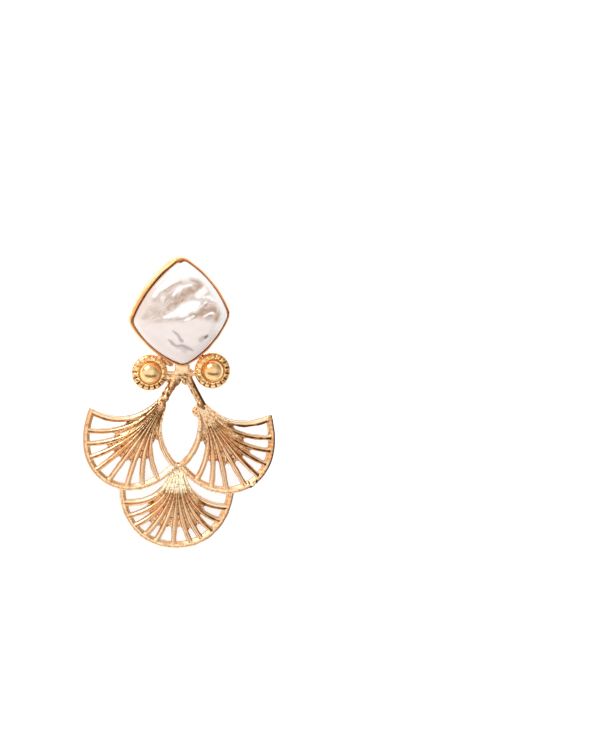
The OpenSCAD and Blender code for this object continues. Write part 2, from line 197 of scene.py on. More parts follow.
def pearl_point(degrees, drawn_in):
    """Outline of the pearl: the cup's core, squeezed along its lower left side so that a gap
    opens at the upper left, with a corner radius that is smaller and least at the top, all drawn
    in towards the middle."""
    core = core_point(degrees)
    core = core - PEARL_SQUEEZE * ((core - BOTTOM) @ LEFT_WAY)[..., None] * LEFT_WAY
    corner = PEARL_CORNER - CORNER_CUT * bump(np.asarray(degrees), CUT_AT, CUT_REACH)
    return (core + corner[..., None] * heading(degrees)) * (1 - np.asarray(drawn_in)[..., None])


CUP_Y = NECK_RISE + CUP_RISE + CUP_L / 2
BUTTON_WAY = {-1: 180 + LEFT_ANGLE, 1: 360 - RIGHT_ANGLE}
BUTTON_AT = {side: cup_point(np.array(way), -BUTTON_GAP - BUTTON_R)
             for side, way in BUTTON_WAY.items()}
TAIL_Y = -(RING_OFFSET + TAIL_RING)
POST_XY = np.array([0, SIDE_ROOT[1]]) + turned([POST_SHIFT, CUP_Y], HEAD_LEAN)
TIP_DROP = POST_L - POST_D / 2 - CUP_BACK
TIP_REACH = POST_XY[1] - TAIL_Y
PITCH = math.atan2(TIP_DROP, TIP_REACH) + math.asin(POST_D / 2 / math.hypot(TIP_DROP, TIP_REACH))
HEAD_TOP = SIDE_ROOT[1] + turned([CUP_SHIFT, CUP_Y + CORE[1]], HEAD_LEAN)[1] + CUP_CORNER
LIFT_Z = -TAIL_Y * math.sin(PITCH)
MIDDLE_Y = ((HEAD_TOP + TAIL_Y) * math.cos(PITCH) - (CUP_BACK + RIM_T) * math.sin(PITCH)) / 2
PITCH_TURN = np.array(Matrix.Rotation(PITCH, 3, "X"))


def lying(points):
    """Points of the face frame in millimetres, pitched on to the earring's back, in metres."""
    return (np.asarray(points) @ PITCH_TURN.T + [0, -MIDDLE_Y, LIFT_Z]) * MM


def head(points):
    """Points of the head's frame, whose origin lies between the fan roots, in the face frame."""
    p = np.array(points, float)
    p[..., :2] = turned(p[..., :2], HEAD_LEAN)
    p[..., 1] += SIDE_ROOT[1]
    return p


# Shells: each is a dict of points, faces and the values of its attributes at each point
def skin(rings, **values):
    """Closed shell over m rings of n points: a quad between neighbours, and at each end a fan of
    triangles round the ring's middle."""
    m, n = rings.shape[:2]
    values = {k: np.broadcast_to(v, (m, n)) for k, v in values.items()}
    i, j = np.meshgrid(np.arange(m - 1), np.arange(n), indexing="ij")
    at = lambda a, b: a * n + b % n
    quads = np.stack([at(i, j), at(i, j + 1), at(i + 1, j + 1), at(i + 1, j)], -1).reshape(-1, 4)
    points = np.vstack([rings.reshape(-1, 3), rings[0].mean(0), rings[-1].mean(0)])
    flat = {k: np.r_[v.reshape(-1), v[0].mean(), v[-1].mean()] for k, v in values.items()}
    j = np.arange(n)
    caps = np.vstack([np.stack([at(0, j + 1), at(0, j), j * 0 + m * n], -1),
                      np.stack([at(m - 1, j), at(m - 1, j + 1), j * 0 + m * n + 1], -1)])
    return {"points": points, "quads": quads, "caps": caps, "values": flat}


def volume(points, quads, caps):
    """Signed volume: a sixth of the triple products of all triangles, positive if they face out."""
    tris = np.vstack([quads[:, [0, 1, 2]], quads[:, [0, 2, 3]], caps])
    a, b, c = (points[tris[:, k]] for k in range(3))
    return np.einsum("ij,ij->i", a, np.cross(b, c)).sum() / 6


def beside(centre, way, section):
    """Points in the plane beside a path, as far to its left as the section says."""
    return centre[:, None, :] + across(way)[:, None, :] * section[..., :1]


def swept(centre, way, section, **values):
    """Rings of a section carried along a path in the plane: section is (m, n, 2), across the path
    to its left and up."""
    return skin(np.concatenate([beside(centre, way, section), section[..., 1:]], -1), **values)


def moved(shell, place):
    """The shell with its points put through place."""
    return {**shell, "points": place(shell["points"])}


def store(mesh, name, values):
    """Writes one value a point as a mesh attribute, for the materials."""
    attribute = mesh.attributes.new(name, "FLOAT", "POINT")
    attribute.data.foreach_set("value", values.astype(np.float32))


def shown(name, data):
    """Object of this mesh, camera or light, linked to the scene."""
    made = bpy.data.objects.new(name, data)
    bpy.context.scene.collection.objects.link(made)
    return made


def mesh_piece(name, shells, attributes, sharp=40):
    """One mesh object from closed shells, each turned to face outwards, with smooth shading up to
    the sharp angle."""
    points, quads, caps, values, base = [], [], [], {k: [] for k in attributes}, 0
    for s in shells:
        p, q, c = lying(s["points"]), s["quads"], s["caps"]
        if volume(p - p.mean(0), q, c) < 0:  # the shell is inside out
            q, c = q[:, ::-1], c[:, ::-1]
        points.append(p)
        quads.append(q + base)
        caps.append(c + base)
        for k in attributes:
            values[k].append(np.broadcast_to(s["values"].get(k, 0.0), len(p)))
        base += len(p)
    mesh = bpy.data.meshes.new(name)
    mesh.from_pydata(np.vstack(points), [], [*np.vstack(quads).tolist(), *np.vstack(caps).tolist()])
    for k in attributes:
        store(mesh, k, np.concatenate(values[k]))
    mesh.shade_smooth()
    mesh.set_sharp_from_angle(angle=math.radians(sharp))
    mesh.validate()
    return shown(name, mesh)


def cut_corners(rows, passes=2):
    """Rounds a closed outline: each pass cuts every corner at a quarter of its two sides."""
    p = np.asarray(rows, float)
    for _ in range(passes):
        nxt = np.roll(p, -1, 0)
        p = np.stack([0.75 * p + 0.25 * nxt, 0.25 * p + 0.75 * nxt], 1).reshape(-1, p.shape[1])
    return p


# Fans
RIB_STEPS, ARCH_STEPS, WEB_STEPS, WEB_ACROSS, RIM_STEPS = 80, 21, 30, 13, 190
RIM_SECTION = [[0.5, 0], [0.5, 0.68], [0.2, 0.84], [0.1, 0.99], [-0.1, 1.02], [-0.36, 1.0],
               [-0.5, 0.82], [-0.5, 0]]
RIB_LEAST_W, RIB_SHARE, RIM_FLARE, CHOKED_SWELL = 0.07, 0.74, 0.55, 1.1
CHOKE_FADE, PALE_FADE, PALE_DIP = 1.8, 6, 0.35
SAG_LEAST, SAG_BY_GAP, SAG_MOST, MOUTH_Z, WEB_UNDER_Z = 0.08, 0.45, 0.55, 0.45, 0.15
RIB_ROUGH, RIB_ROUGH_LOST, WEB_ROUGH, WEB_ROUGH_LOST = 0.03, 0.018, 0.035, 0.022
# The painted shade line on the ribs: its half width, and where it lies across the rib on the first
# rib, on the others and on steep ones
LINE_W, FIRST_LINE_AT, LINE_AT, STEEP_LINE_AT = 0.72, -0.45, -0.12, 0.95
# The painted shadow along the rim's step: where it lies across the rim and its half width; the
# painted shade with worn spots on the rim: where it is strongest across it, its half width, and the
# fan shade it starts above
STEP_AT, STEP_W, WORN_AT, WORN_W, WORN_FROM = 0.24, 0.2, -0.48, 0.34, 0.43

# How a fan looks: how strong its painted shade is, in the lines along its ribs and on its rim,
# how far from the root the casting chokes its grooves, how pale it is there, and its seed
LEFT_LOOK, RIGHT_LOOK = (0.65, -0.6, 0.0, 100), (1.1, 3.2, 0.12, 200)
TAIL_LOOK = (0.85, 4.4, 1.0, 300)


def rib_arch(w, crest, shoulder, power):
    """Section of a rib: over its shoulders half a superellipse of this power, |x|^p + |z|^p = 1,
    on upright sides, closed by a flat back."""
    a = np.linspace(0, math.pi, ARCH_STEPS)[None, :]
    x = w * raised(np.cos(a), 2 / power)
    z = shoulder + (crest - shoulder) * np.abs(np.sin(a)) ** (2 / power)
    one = np.ones((1, 1))
    x = np.hstack([w * one, w * one, x, -w * one, -w * one, w * 0])
    z = np.hstack([w * 0, shoulder * 0.5, z, shoulder * 0.5, w * 0, w * 0])
    return np.stack([x, z], -1)


def root_dip(p, pale):
    """How much lower a choked pale root lies than a cut one: it rises for 6 mm from the root."""
    return PALE_DIP * pale * (1 - smooth(np.linalg.norm(p, axis=-1) / PALE_FADE))


def choking(p, fill):
    """1 near the root, where the casting chokes the grooves, and 0 from a little past fill on."""
    return 1 - smooth((np.linalg.norm(p, axis=-1) - fill) / CHOKE_FADE)


def rib(i, count, centre, way, room, slope, look):
    """Shell of rib i, the rib_arch carried along its curve: a peaked ridge at the root, no wider
    than the room between its neighbours, and a rounded bar at the rim, where it flares into it.
    Its low flanks are darkened with oxide and painted shade, and one line of painted shade runs
    along it on the side away from the light, with cream and a painted highlight beside it and near
    the root."""
    shade, fill, pale, seed = look
    edge = i in (0, count - 1)
    t = np.linspace(0, 1, RIB_STEPS)[:, None]
    choked = choking(centre, fill)[:, None]
    full = mix(RIB_ROOT_W, EDGE_RIB_W if edge else RIB_W, smooth(t / 0.75))
    w = np.minimum(full, RIB_LEAST_W + room[:, None] * (1.0 if edge else RIB_SHARE)) / 2
    w = w * (1 + 0.06 * ripple(centre[:, :1], centre[:, 1:], 2.2, seed + i))
    w = w * (1 + (0 if edge else RIM_FLARE) * smooth((t - 0.93) / 0.07) ** 2)
    w = w * (1 + (0 if edge else CHOKED_SWELL) * choked)
    crest = mix(RIDGE_T, RIM_T * 0.995, smooth(t * 0.5) * 2) - root_dip(centre, pale)[:, None]
    section = rib_arch(w, crest, crest * mix(0.35, 0.55, t), mix(1.9, 2.3, t) + 2.5 * choked)
    inner = 1 - smooth((t - 0.25) / 0.4)
    at = beside(centre, way, section)
    rough = ripple(at[..., 0], at[..., 1], 0.4, seed + 40 + i)
    rough = (RIB_ROUGH - RIB_ROUGH_LOST * choked) * inner * rough
    section[..., 1] += rough * (section[..., 1] > 0.2)
    lie = turned(way, slope)[:, None, :]
    flat = smooth((np.abs(lie[..., 0]) - 0.45) / 0.5)
    u = section[..., 0] / w * np.sign(turned(across(way), slope)[:, None, 1])
    middle = mix(STEEP_LINE_AT, FIRST_LINE_AT if i == 0 else LINE_AT, flat)
    # The painted shade line: on the side away from the light, stronger on ribs that run to +x in
    # the fan's frame and on fans with more shade
    line = bump(u, middle, LINE_W) * mix(0.5, 1.0, flat) * smooth(np.abs(lie[..., 0]) / 0.25)
    line = line * shade * mix(0.6, 1.0, smooth(0.5 + lie[..., 0]))
    line = line * (1 + 0.25 * ripple(centre[:, :1], centre[:, 1:], 1.3, seed + 60))
    # Painted shade with oxide low on the flanks; the cream beside the line and near the root is a
    # painted highlight, and pale where the casting chokes the grooves
    low = 1 - smooth((section[..., 1] / crest - 0.35) / 0.5)
    oxide = np.maximum(low * mix(0.6, 0.75, inner), line * (1 - inner)) * (1 - 0.9 * choked)
    cream = mix(smooth((u - middle) / 0.5) * flat * 0.45 + 0.6 * inner, pale, choked)
    return swept(centre, way, section, oxide=np.clip(oxide, 0, 1),
                 grain=inner * (1 - 0.45 * choked), cream=cream)


def web(i, count, curves, share, look):
    """Shell of the web between ribs i and i + 1, to this share of their length: it hangs like
    cloth, as a valley that gets deeper with the room, and ends in a rounded mouth, or in a pointed
    one in the first and last web."""
    _, fill, pale, seed = look
    outer = i in (0, count - 2)
    u = np.linspace(0, 1, WEB_ACROSS)[None, :]
    along = np.linspace(0, 1, WEB_STEPS)[:, None]
    k = along * (share + (0.18 if outer else 0.08) * np.abs(2 * u - 1) ** (1.3 if outer else 1.9))
    a, b = (bezier(*curve, k[..., None]) for curve in curves)
    top = mix(a, b, u[..., None])
    gap = np.linalg.norm(a - b, axis=-1)
    crest = mix(RIDGE_T, RIM_T, smooth(k * 0.5) * 2) * 0.97 - root_dip(top, pale)
    choked = choking(top, fill) * (0.35 if outer else 1)
    sag = np.minimum(SAG_MOST, SAG_LEAST + SAG_BY_GAP * gap) * (1 - 0.85 * choked)
    height = crest - sag * (1 - np.abs(2 * u - 1) ** 1.8)
    height = height - (height - MOUTH_Z) * smooth((along - 0.9) / 0.1) ** 2 * 0.7
    rough = ripple(top[..., 0], top[..., 1], 0.35, seed + 80 + i)
    height = height + (WEB_ROUGH - WEB_ROUGH_LOST * choked) * rough
    upper = np.dstack([top, height])
    lower = np.dstack([top, height * 0 + WEB_UNDER_Z])[:, ::-1]
    # Painted shade with oxide down the middle of each valley, fading towards the mouth and where
    # the casting chokes; the underside gets a flat painted shade
    groove = (0.5 if fill > 0 else 0.8) * bump(u, 0.5, 0.5)
    groove = groove * (1 - 0.7 * smooth((along - 0.45) / 0.4)) * (1 - choked)
    both = lambda over, under: np.concatenate([over, choked * 0 + under], 1)
    return skin(np.concatenate([upper, lower], 1), oxide=both(groove, 0.5),
                grain=both(1 - 0.45 * choked, 1), cream=both(mix(0.4, pale, choked), 0))


def rim(ribs, plan, overrun, slope, look):
    """Shell of the rim: a bar with a soft step, along the fan's ring from the last rib's end to
    the first one's and on by the overrun. Its low sides get painted shade and its step a painted
    shadow. On the half of the ring that faces +x in the fan's frame, a painted shade mottled with
    worn spots darkens it, strongest along its outer edge and more on fans with more shade."""
    shade, _, _, seed = look
    a = np.linspace(ribs[-1, SWING] - overrun, ribs[0, SWING] + overrun, RIM_STEPS)
    centre = ring_point(plan, RIM_W / 2, a)
    way = unit(np.gradient(centre, axis=0))
    section = cut_corners(RIM_SECTION) * [RIM_W, RIM_T]
    swell = 1 + 0.035 * ripple(centre[:, :1], centre[:, 1:], 2.4, seed + 90)
    section = section[None] * np.stack([swell, 1 + (swell - 1) * 0.5], -1)
    over = section[..., 0] / RIM_W
    # Painted shadow along the step and painted shade on the low sides
    step = bump(over, STEP_AT, STEP_W)
    low = 1 - smooth(section[..., 1] / RIM_T / 0.7)
    at = beside(centre, way, section)
    # Painted shade mottled with worn spots, on the half of the ring that faces +x in the fan's
    # frame, strongest along the outer edge
    spots = smooth(0.4 + ripple(at[..., 0], at[..., 1], 0.9, seed + 95))
    worn = 0.12 + 0.22 * spots + 1.1 * bump(over, WORN_AT, WORN_W)
    worn = 1.5 * (shade - WORN_FROM) * smooth(heading(a + slope)[:, :1]) * worn
    oxide = np.clip(np.maximum(0.25 * step, 0.8 * low) + worn, 0, 1)
    return swept(centre, way, section, oxide=oxide, grain=0.4, cream=0.1)


def fan(ribs, plan, overrun, slope, look, root=(0, 0), lift=0, side=1):
    """Shells of one fan, which opens from its root along the turn slope: its ribs, the webs
    between them and the rim. They are moved to the root and the lift; side -1 mirrors them."""
    n = len(ribs)
    roots = np.stack([np.zeros(n), ROOT_SPREAD * (0.5 - np.arange(n) / (n - 1))], -1)
    tips = ring_point(plan, RIM_W * 0.45, ribs[:, SWING])
    mids = (roots + tips) / 2 + across(tips - roots) * ribs[:, BEND:WEB]
    corners = list(zip(roots, mids, tips))
    t = np.linspace(0, 1, RIB_STEPS)[:, None]
    curves = np.stack([bezier(*c, t) for c in corners])
    room = np.linalg.norm(np.diff(curves, axis=0), axis=-1)
    room = np.minimum(np.concatenate([room[:1], room]), np.concatenate([room, room[-1:]]))
    shells = [rib(i, n, curves[i], bezier_way(*corners[i], t), room[i], slope, look)
              for i in range(n)]
    shells += [web(i, n, corners[i:i + 2], ribs[i, WEB], look) for i in range(n - 1)]
    shells.append(rim(ribs, plan, overrun, slope, look))

    def place(p):
        q = np.array(p)
        q[..., :2] = turned(p[..., :2], slope) + root
        q[..., 2] += lift
        q[..., 0] *= side
        return q
    return [moved(s, place) for s in shells]


def side_fan(side, look):
    """The side fan on the right, or for side -1 on the left, LAP in front of the tail fan."""
    return fan(SIDE_RIBS, SIDE_PLAN, SIDE_OVERRUN, -SIDE_SLOPE, look, SIDE_ROOT, LAP, side)


# Casting flaws on the right fan's rim: place, radii, turn and how dark each is painted; the darkest
# lumps are painted shadow round the flaw, and the one at 0 is a painted highlight in cream
DROPS = [([15.2, -3.0, 1.6], [0.9, 0.55, 0.45], 35, 0.15),
         ([14.9, -3.6, 1.75], [0.55, 0.22, 0.25], 30, 0.9),
         ([15.9, -2.5, 1.7], [0.25, 0.5, 0.35], 0, 0.95),
         ([14.4, -2.9, 1.75], [0.2, 0.4, 0.25], 20, 0.8),
         ([15.15, -3.15, 1.9], [0.45, 0.2, 0.25], 35, 0.0),
         ([17.7, 10.2, 1.65], [0.75, 0.5, 0.4], 30, 0.35)]


# Rounded lumps and bars of the cast and soldered joints
def lump(centre, radii, turn=0.0, rough=0.0, seed=0, power=2.0, steps=(20, 28), **values):
    """Superellipsoid of these three radii, turned about z, with a seeded roughness."""
    v = np.linspace(-math.pi / 2, math.pi / 2, steps[0])[1:-1, None]
    h = np.linspace(0, 2 * math.pi, steps[1], endpoint=False)[None, :]
    curl = lambda s: raised(s, 2 / power)
    p = np.stack([curl(np.cos(v)) * curl(np.cos(h)), curl(np.cos(v)) * curl(np.sin(h)),
                  curl(np.sin(v)) + 0 * h], -1)
    dents = ripple(p[..., 0] * 2 + p[..., 2], p[..., 1] * 2 - p[..., 2], 1.6, seed)
    p = p * (1 + rough * dents[..., None]) * radii
    p[..., :2] = turned(p[..., :2], turn)
    return skin(p + centre, **values)


def bar(a, b, c, radius, rough, seed, steps=44, sides=24):
    """Round bar along the curve from a to c drawn towards b, with a seeded hammered roughness."""
    t = np.linspace(0, 1, steps)[:, None]
    line = [np.asarray(p)[:2] for p in (a, b, c)]
    centre, way = bezier(*line, t), bezier_way(*line, t)
    z = mix(a[2], c[2], t[:, 0])
    h = np.linspace(0, 2 * math.pi, sides, endpoint=False)[None, :]
    r = radius * (1 + rough * ripple(t * 9, h * 1.2, 2.2, seed))
    section = np.stack([r * np.cos(h), r * np.sin(h) + z[:, None]], -1)
    return swept(centre, way, section)


def fused(name, shells, voxel, passes):
    """Shells fused into one smooth casting: a voxel remesh, then a Laplacian smoothing."""
    raw = mesh_piece(name + "_raw", shells, [])
    melt = raw.modifiers.new("melt", "REMESH")
    melt.mode = "VOXEL"
    melt.voxel_size = voxel * MM
    soft = raw.modifiers.new("soft", "SMOOTH")
    soft.factor = 0.5
    soft.iterations = passes
    depsgraph = bpy.context.evaluated_depsgraph_get()
    mesh = bpy.data.meshes.new_from_object(raw.evaluated_get(depsgraph))
    bpy.data.objects.remove(raw)
    mesh.name = name
    mesh.shade_smooth()
    return shown(name, mesh)


# Lumps of solder, as place, radii and turn: the web between the left button and its stem, a blob
# between the neck and the right button, beads on both stems and both knots, and one under the cup
SOLDER = [([-2.35, 17.6, 1.3], [1.35, 0.9, 0.6], 30), ([-1.3, 16.9, 1.3], [0.9, 1.1, 0.65], -30),
          ([0.8, 17.0, 1.35], [0.9, 0.7, 0.6], 20), ([1.55, 18.7, 1.25], [0.55, 0.9, 0.5], 10),
          ([-3.3, 13.5, 1.75], [0.75, 0.95, 0.6], -25), ([3.1, 11.1, 1.5], [0.9, 1.1, 0.7], 10),
          ([-4.3, 11.3, 1.6], [0.8, 1.1, 0.7], 20), ([4.35, 12.0, 1.8], [0.95, 0.75, 0.7], -30),
          ([-3.4, 21.0, 1.4], [1.7, 0.7, 0.6], -38)]
STEM_SWELL, STEM_ROUGH = {-1: 1.5, 1: 1.34}, {-1: 0.06, 1: 0.0}
HAMMER_SIZE, LEFT_HAMMER, RIGHT_HAMMER = 1.1, 0.03, 0.012
SCORCHED_KNOT = np.array([4.3, 12.3, 1.9])
FUSE_VOXEL, FUSE_PASSES = 0.085, 3


def joints():
    """Neck, stems with their knots, the crossing of the side fans and the solder, fused."""
    neck = head([CUP_SHIFT, NECK_RISE + 0.15, NECK_BACK + NECK_T / 2])
    neck_radii = [NECK_W / 2 * 1.1, 1.55, NECK_T / 2 * 1.1]
    shells = [lump(neck, neck_radii, HEAD_LEAN, 0, 1, 4, (32, 48))]
    low = head([CUP_SHIFT, NECK_RISE - NECK_W * 0.48, NECK_BACK + NECK_T * 0.4])
    shells.append(lump(low, [0.95, 0.8, 0.62], HEAD_LEAN, 0.02, 2))
    for side in (-1, 1):
        foot = np.array([side * (SIDE_ROOT[0] + STEM_SPREAD), SIDE_ROOT[1], LAP + STEM_D / 2])
        top = head([CUP_SHIFT + side * (NECK_W - STEM_D) / 2, NECK_RISE - NECK_W / 4,
                    LAP + STEM_D / 2])
        mid = (foot[:2] + top[:2]) / 2 + across(top[:2] - foot[:2]) * side * STEM_BEND
        stem_r = STEM_D / 2 * STEM_SWELL[side]
        shells.append(bar(foot, mid, top, stem_r, STEM_ROUGH[side], 11 + side))
        shells.append(lump(foot + [-side * STEM_SPREAD, -0.1, KNOT_LIFT],
                           [KNOT_R, KNOT_R * 1.3, KNOT_R * 0.95], side * 20, 0.04, 21 + side))
        at = BUTTON_AT[side] + [0, CUP_Y]
        on_neck = np.array([CUP_SHIFT + side * (NECK_W / 2 - SOLDER_R / 2), NECK_RISE - NECK_W / 4])
        to_cup = -heading(BUTTON_WAY[side])
        on_cup = at + (BUTTON_R + BUTTON_GAP + CUP_WALL / 2) * to_cup
        z = BUTTON_BACK + BUTTON_H * 0.2
        for end, way in ((on_cup, to_cup), (on_neck, unit(on_neck - at))):
            a, b = head([*(at + (BUTTON_R - SOLDER_R) * way), z]), head([*end, z])
            shells.append(bar(a, (a + b)[:2] / 2, b, SOLDER_R * 0.95, 0.05, 31 + side))
    for at, radii, turn in SOLDER:
        shells.append(lump(at, radii, turn, 0.03, 41))
    shells.append(lump([0, -0.1, LAP + 0.35], [1.15, 0.75, 0.75], 0, 0.05, 51))
    shells.append(lump([0, -1.3, 0.8], [0.95, 1.5, 0.62], 0, 0.04, 52))
    piece = fused("neck_and_stems", shells, FUSE_VOXEL, FUSE_PASSES)
    co = np.zeros(len(piece.data.vertices) * 3, np.float32)
    normal = np.zeros_like(co)
    piece.data.vertices.foreach_get("co", co)
    piece.data.vertices.foreach_get("normal", normal)
    co, normal = co.reshape(-1, 3), normal.reshape(-1, 3)
    p = co / MM
    off = lambda place: np.linalg.norm(co - lying(place), axis=1) / MM
    smooth_neck = smooth(off(neck) / 3.2 - 0.35)
    hammer = ripple(p[:, 0] + p[:, 2], p[:, 1] - 0.6 * p[:, 2], HAMMER_SIZE, 61)
    hammer = hammer * mix(LEFT_HAMMER, RIGHT_HAMMER, smooth((p[:, 0] + 1) / 2))
    co = co + normal * (hammer * smooth_neck * MM)[:, None]
    piece.data.vertices.foreach_set("co", co.astype(np.float32).ravel())
    dents = smooth(-hammer / 0.025) * smooth_neck
    patches = smooth(0.3 + ripple(p[:, 0], p[:, 1] + p[:, 2], 0.8, 62))
    scorched = (1 - smooth((off(low) - 0.9) / 0.9)) * patches
    edge = 0.25 * ripple(p[:, 0], p[:, 1], 0.9, 63)
    scorched = np.maximum(scorched, 0.9 - smooth((off(SCORCHED_KNOT) - 0.6) / 0.8 + edge))
    # Painted shade on the sides that face +x and towards the right, stored with the dents and
    # scorch marks
    shaded = smooth(normal[:, 0] * 1.8) * mix(0.45, 0.95, smooth((p[:, 0] - 0.5) / 0.8))
    shaded = shaded * smooth_neck
    store(piece.data, "grain", smooth_neck)
    store(piece.data, "oxide", np.maximum(np.maximum(0.75 * dents, shaded),
                                          0.8 * np.clip(scorched, 0, 1)))
    piece.data.update()
    return piece


# Cup, pearl and buttons
NOISE_R = 9
# Rows of the cup's wall: inset as shares of the lean and of the thickness, height as a share of
# the wall's, and how much the row counts as the inside, which gets an orange painted reflection
CUP_ROWS = [(0, 0, 0.0, 0), (0, 0, 0.3, 0), (0, 0, 0.6, 0), (0.15, 0, 0.78, 0),
            (0.55, 0, 0.9, 0.05), (0.95, 0.05, 0.985, 0.6), (1.0, 0.2, 1.0, 1),
            (1.0, 0.55, 1.0, 1), (0.97, 0.68, 0.975, 1), (0.8, 0.8, 0.86, 1), (0.5, 1.0, 0.72, 1),
            (0.1, 1.0, 0.55, 1), (0, 1.0, 0.3, 1), (0, 1.0, 0.12, 1)]


def cup():
    """Thin wall round the pearl: up the outside, over the thin rim, which is burnished inwards on
    its upper left, and down inside, with a back plate."""
    a = np.linspace(0, 360, 360, endpoint=False)
    x, y = (heading(a) * NOISE_R).T
    lean = 0.24 + 0.16 * bump(a, 135, 62) - 0.08 * bump(a, 40, 40)
    lean = lean + 0.03 * ripple(x, y, 2.3, 71)
    thick = 0.72 + 0.25 * bump(a, 33, 20) - 0.2 * bump(a, 8, 18) + 0.65 * bump(a, 140, 62)
    thick = CUP_WALL * thick
    rings = []
    for by_lean, by_wall, up, _ in CUP_ROWS:
        wrinkle = 0.025 * ripple(x, y + up, 1.3, 72)
        xy = cup_point(a, by_lean * lean + by_wall * thick) + heading(a) * wrinkle[:, None]
        rings.append(np.c_[xy, CUP_BACK + (cup_top(a) - CUP_BACK) * up])
    shell = skin(np.stack(rings), grain=0.3, inner=np.array(CUP_ROWS)[:, 3:])
    return moved(shell, lambda p: head(p + [0, CUP_Y, 0]))


# Half section of the pearl from its foot, as shares drawn in and of its height; the lower edge of
# its beige zone; and its strokes: strength, then points with a width at each
PEARL_PROFILE = np.array([
    [0.05, 0], [0.05, 0.26], [0, 0.33], [0, 0.5], [0.004, 0.66], [0.03, 0.77], [0.10, 0.87],
    [0.22, 0.94], [0.45, 0.98], [0.75, 1.0], [0.975, 1.0]])
ZONE_EDGE = np.array([[-9, -1.6], [-4.4, -1.7], [-1.3, -2.3], [2.6, -2.0], [6.4, -2.3],
                      [8.5, -3.0]])
BROWN = [(0.9, [(-2.2, 0.9, 0.5), (-0.6, 2.1, 1.0), (1.6, 3.9, 1.3), (3.5, 5.0, 1.1),
                (4.9, 5.4, 0.6)]),
         (0.9, [(2.2, 6.5, 0.4), (4.6, 5.9, 0.8)]),
         (0.8, [(-2.0, 5.1, 0.5), (-0.6, 5.9, 0.5), (0.5, 5.9, 0.3)]),
         (0.95, [(2.2, -0.9, 0.8), (4.9, 0.2, 1.7), (7.4, -0.6, 1.9), (8.3, -2.2, 0.9)]),
         (0.45, [(-8.4, -0.4, 1.2), (-5.1, -0.4, 1.8), (-1.9, -1.0, 1.3)]),
         (0.5, [(-3.0, 4.8, 0.8), (-1.0, 2.9, 1.1)])]
BRIGHT = [(1.0, [(-3.2, -0.8, 0.4), (-1.2, -0.4, 0.7), (0.9, 0.5, 1.3), (2.6, 1.1, 1.2),
                 (3.7, 1.7, 0.5)]),
          (0.8, [(-1.2, 3.5, 0.25), (0.3, 5.0, 0.35), (2.4, 5.3, 0.25)]),
          (0.9, [(-5.1, 4.0, 0.8), (-3.1, 5.7, 0.8), (-0.4, 6.7, 0.7)]),
          (1.0, [(-2.6, 7.2, 1.0), (-0.2, 8.0, 1.5), (3.0, 7.9, 1.5)]),
          (0.7, [(3.4, 3.1, 0.5), (5.1, 4.2, 0.7)]),
          (0.8, [(3.6, 0.7, 0.2), (5.1, 1.6, 0.3)]), (0.8, [(4.6, -0.9, 0.2), (6.6, -0.3, 0.3)]),
          (0.7, [(0.9, -1.6, 0.3), (2.7, -0.9, 0.3)]),
          (0.7, [(4.7, 3.0, 0.3), (7.3, 2.2, 0.4)])]
# The creases and the pit are pressed in and painted with shade; the last stroke of each list, under
# the second crease and beside the pit, is painted shade only
CREASES = [(0.55, [(-1.5, -3.6, 0.15), (-0.6, -4.7, 0.4), (0.4, -5.7, 0.35)]),
           (0.55, [(-2.6, -5.3, 0.15), (-1.7, -6.2, 0.35), (-0.6, -6.6, 0.4), (0.9, -7.0, 0.5),
                   (2.4, -7.7, 0.2)]),
           (0.3, [(-0.8, -6.9, 0.5), (0.7, -7.4, 0.8)])]
PIT = [(1.0, [(4.9, -5.2, 0.42), (5.3, -4.95, 0.36)]), (0.35, [(4.0, -5.7, 0.6), (4.6, -5.3, 0.6)])]
FINE_FOLD, BROAD_FOLD = 0.7, 1.7


def rounded(rows, count, passes):
    """Line of this many points through the rows. Each pass moves every inner point to the mean of
    itself and of the middle between its neighbours."""
    key, fine = np.linspace(0, 1, len(rows)), np.linspace(0, 1, count)
    line = np.stack([np.interp(fine, key, rows[:, k]) for k in (0, 1)], -1)
    for _ in range(passes):
        line[1:-1] = (line[:-2] + 2 * line[1:-1] + line[2:]) / 4
    return line


def strokes(x, y, layer):
    """Mask of soft brush strokes: on each line through its points a stroke's own strength, which
    falls to 0 at the width that changes along it."""
    best = np.zeros(x.shape)
    for strength, points in layer:
        for (x0, y0, w0), (x1, y1, w1) in zip(points[:-1], points[1:]):
            dx, dy = x1 - x0, y1 - y0
            t = np.clip(((x - x0) * dx + (y - y0) * dy) / (dx * dx + dy * dy), 0, 1)
            off = np.hypot(x - x0 - t * dx, y - y0 - t * dy) / mix(w0, w1, t)
            best = np.maximum(best, strength * smooth((1.25 - off) / 0.9))
    return best


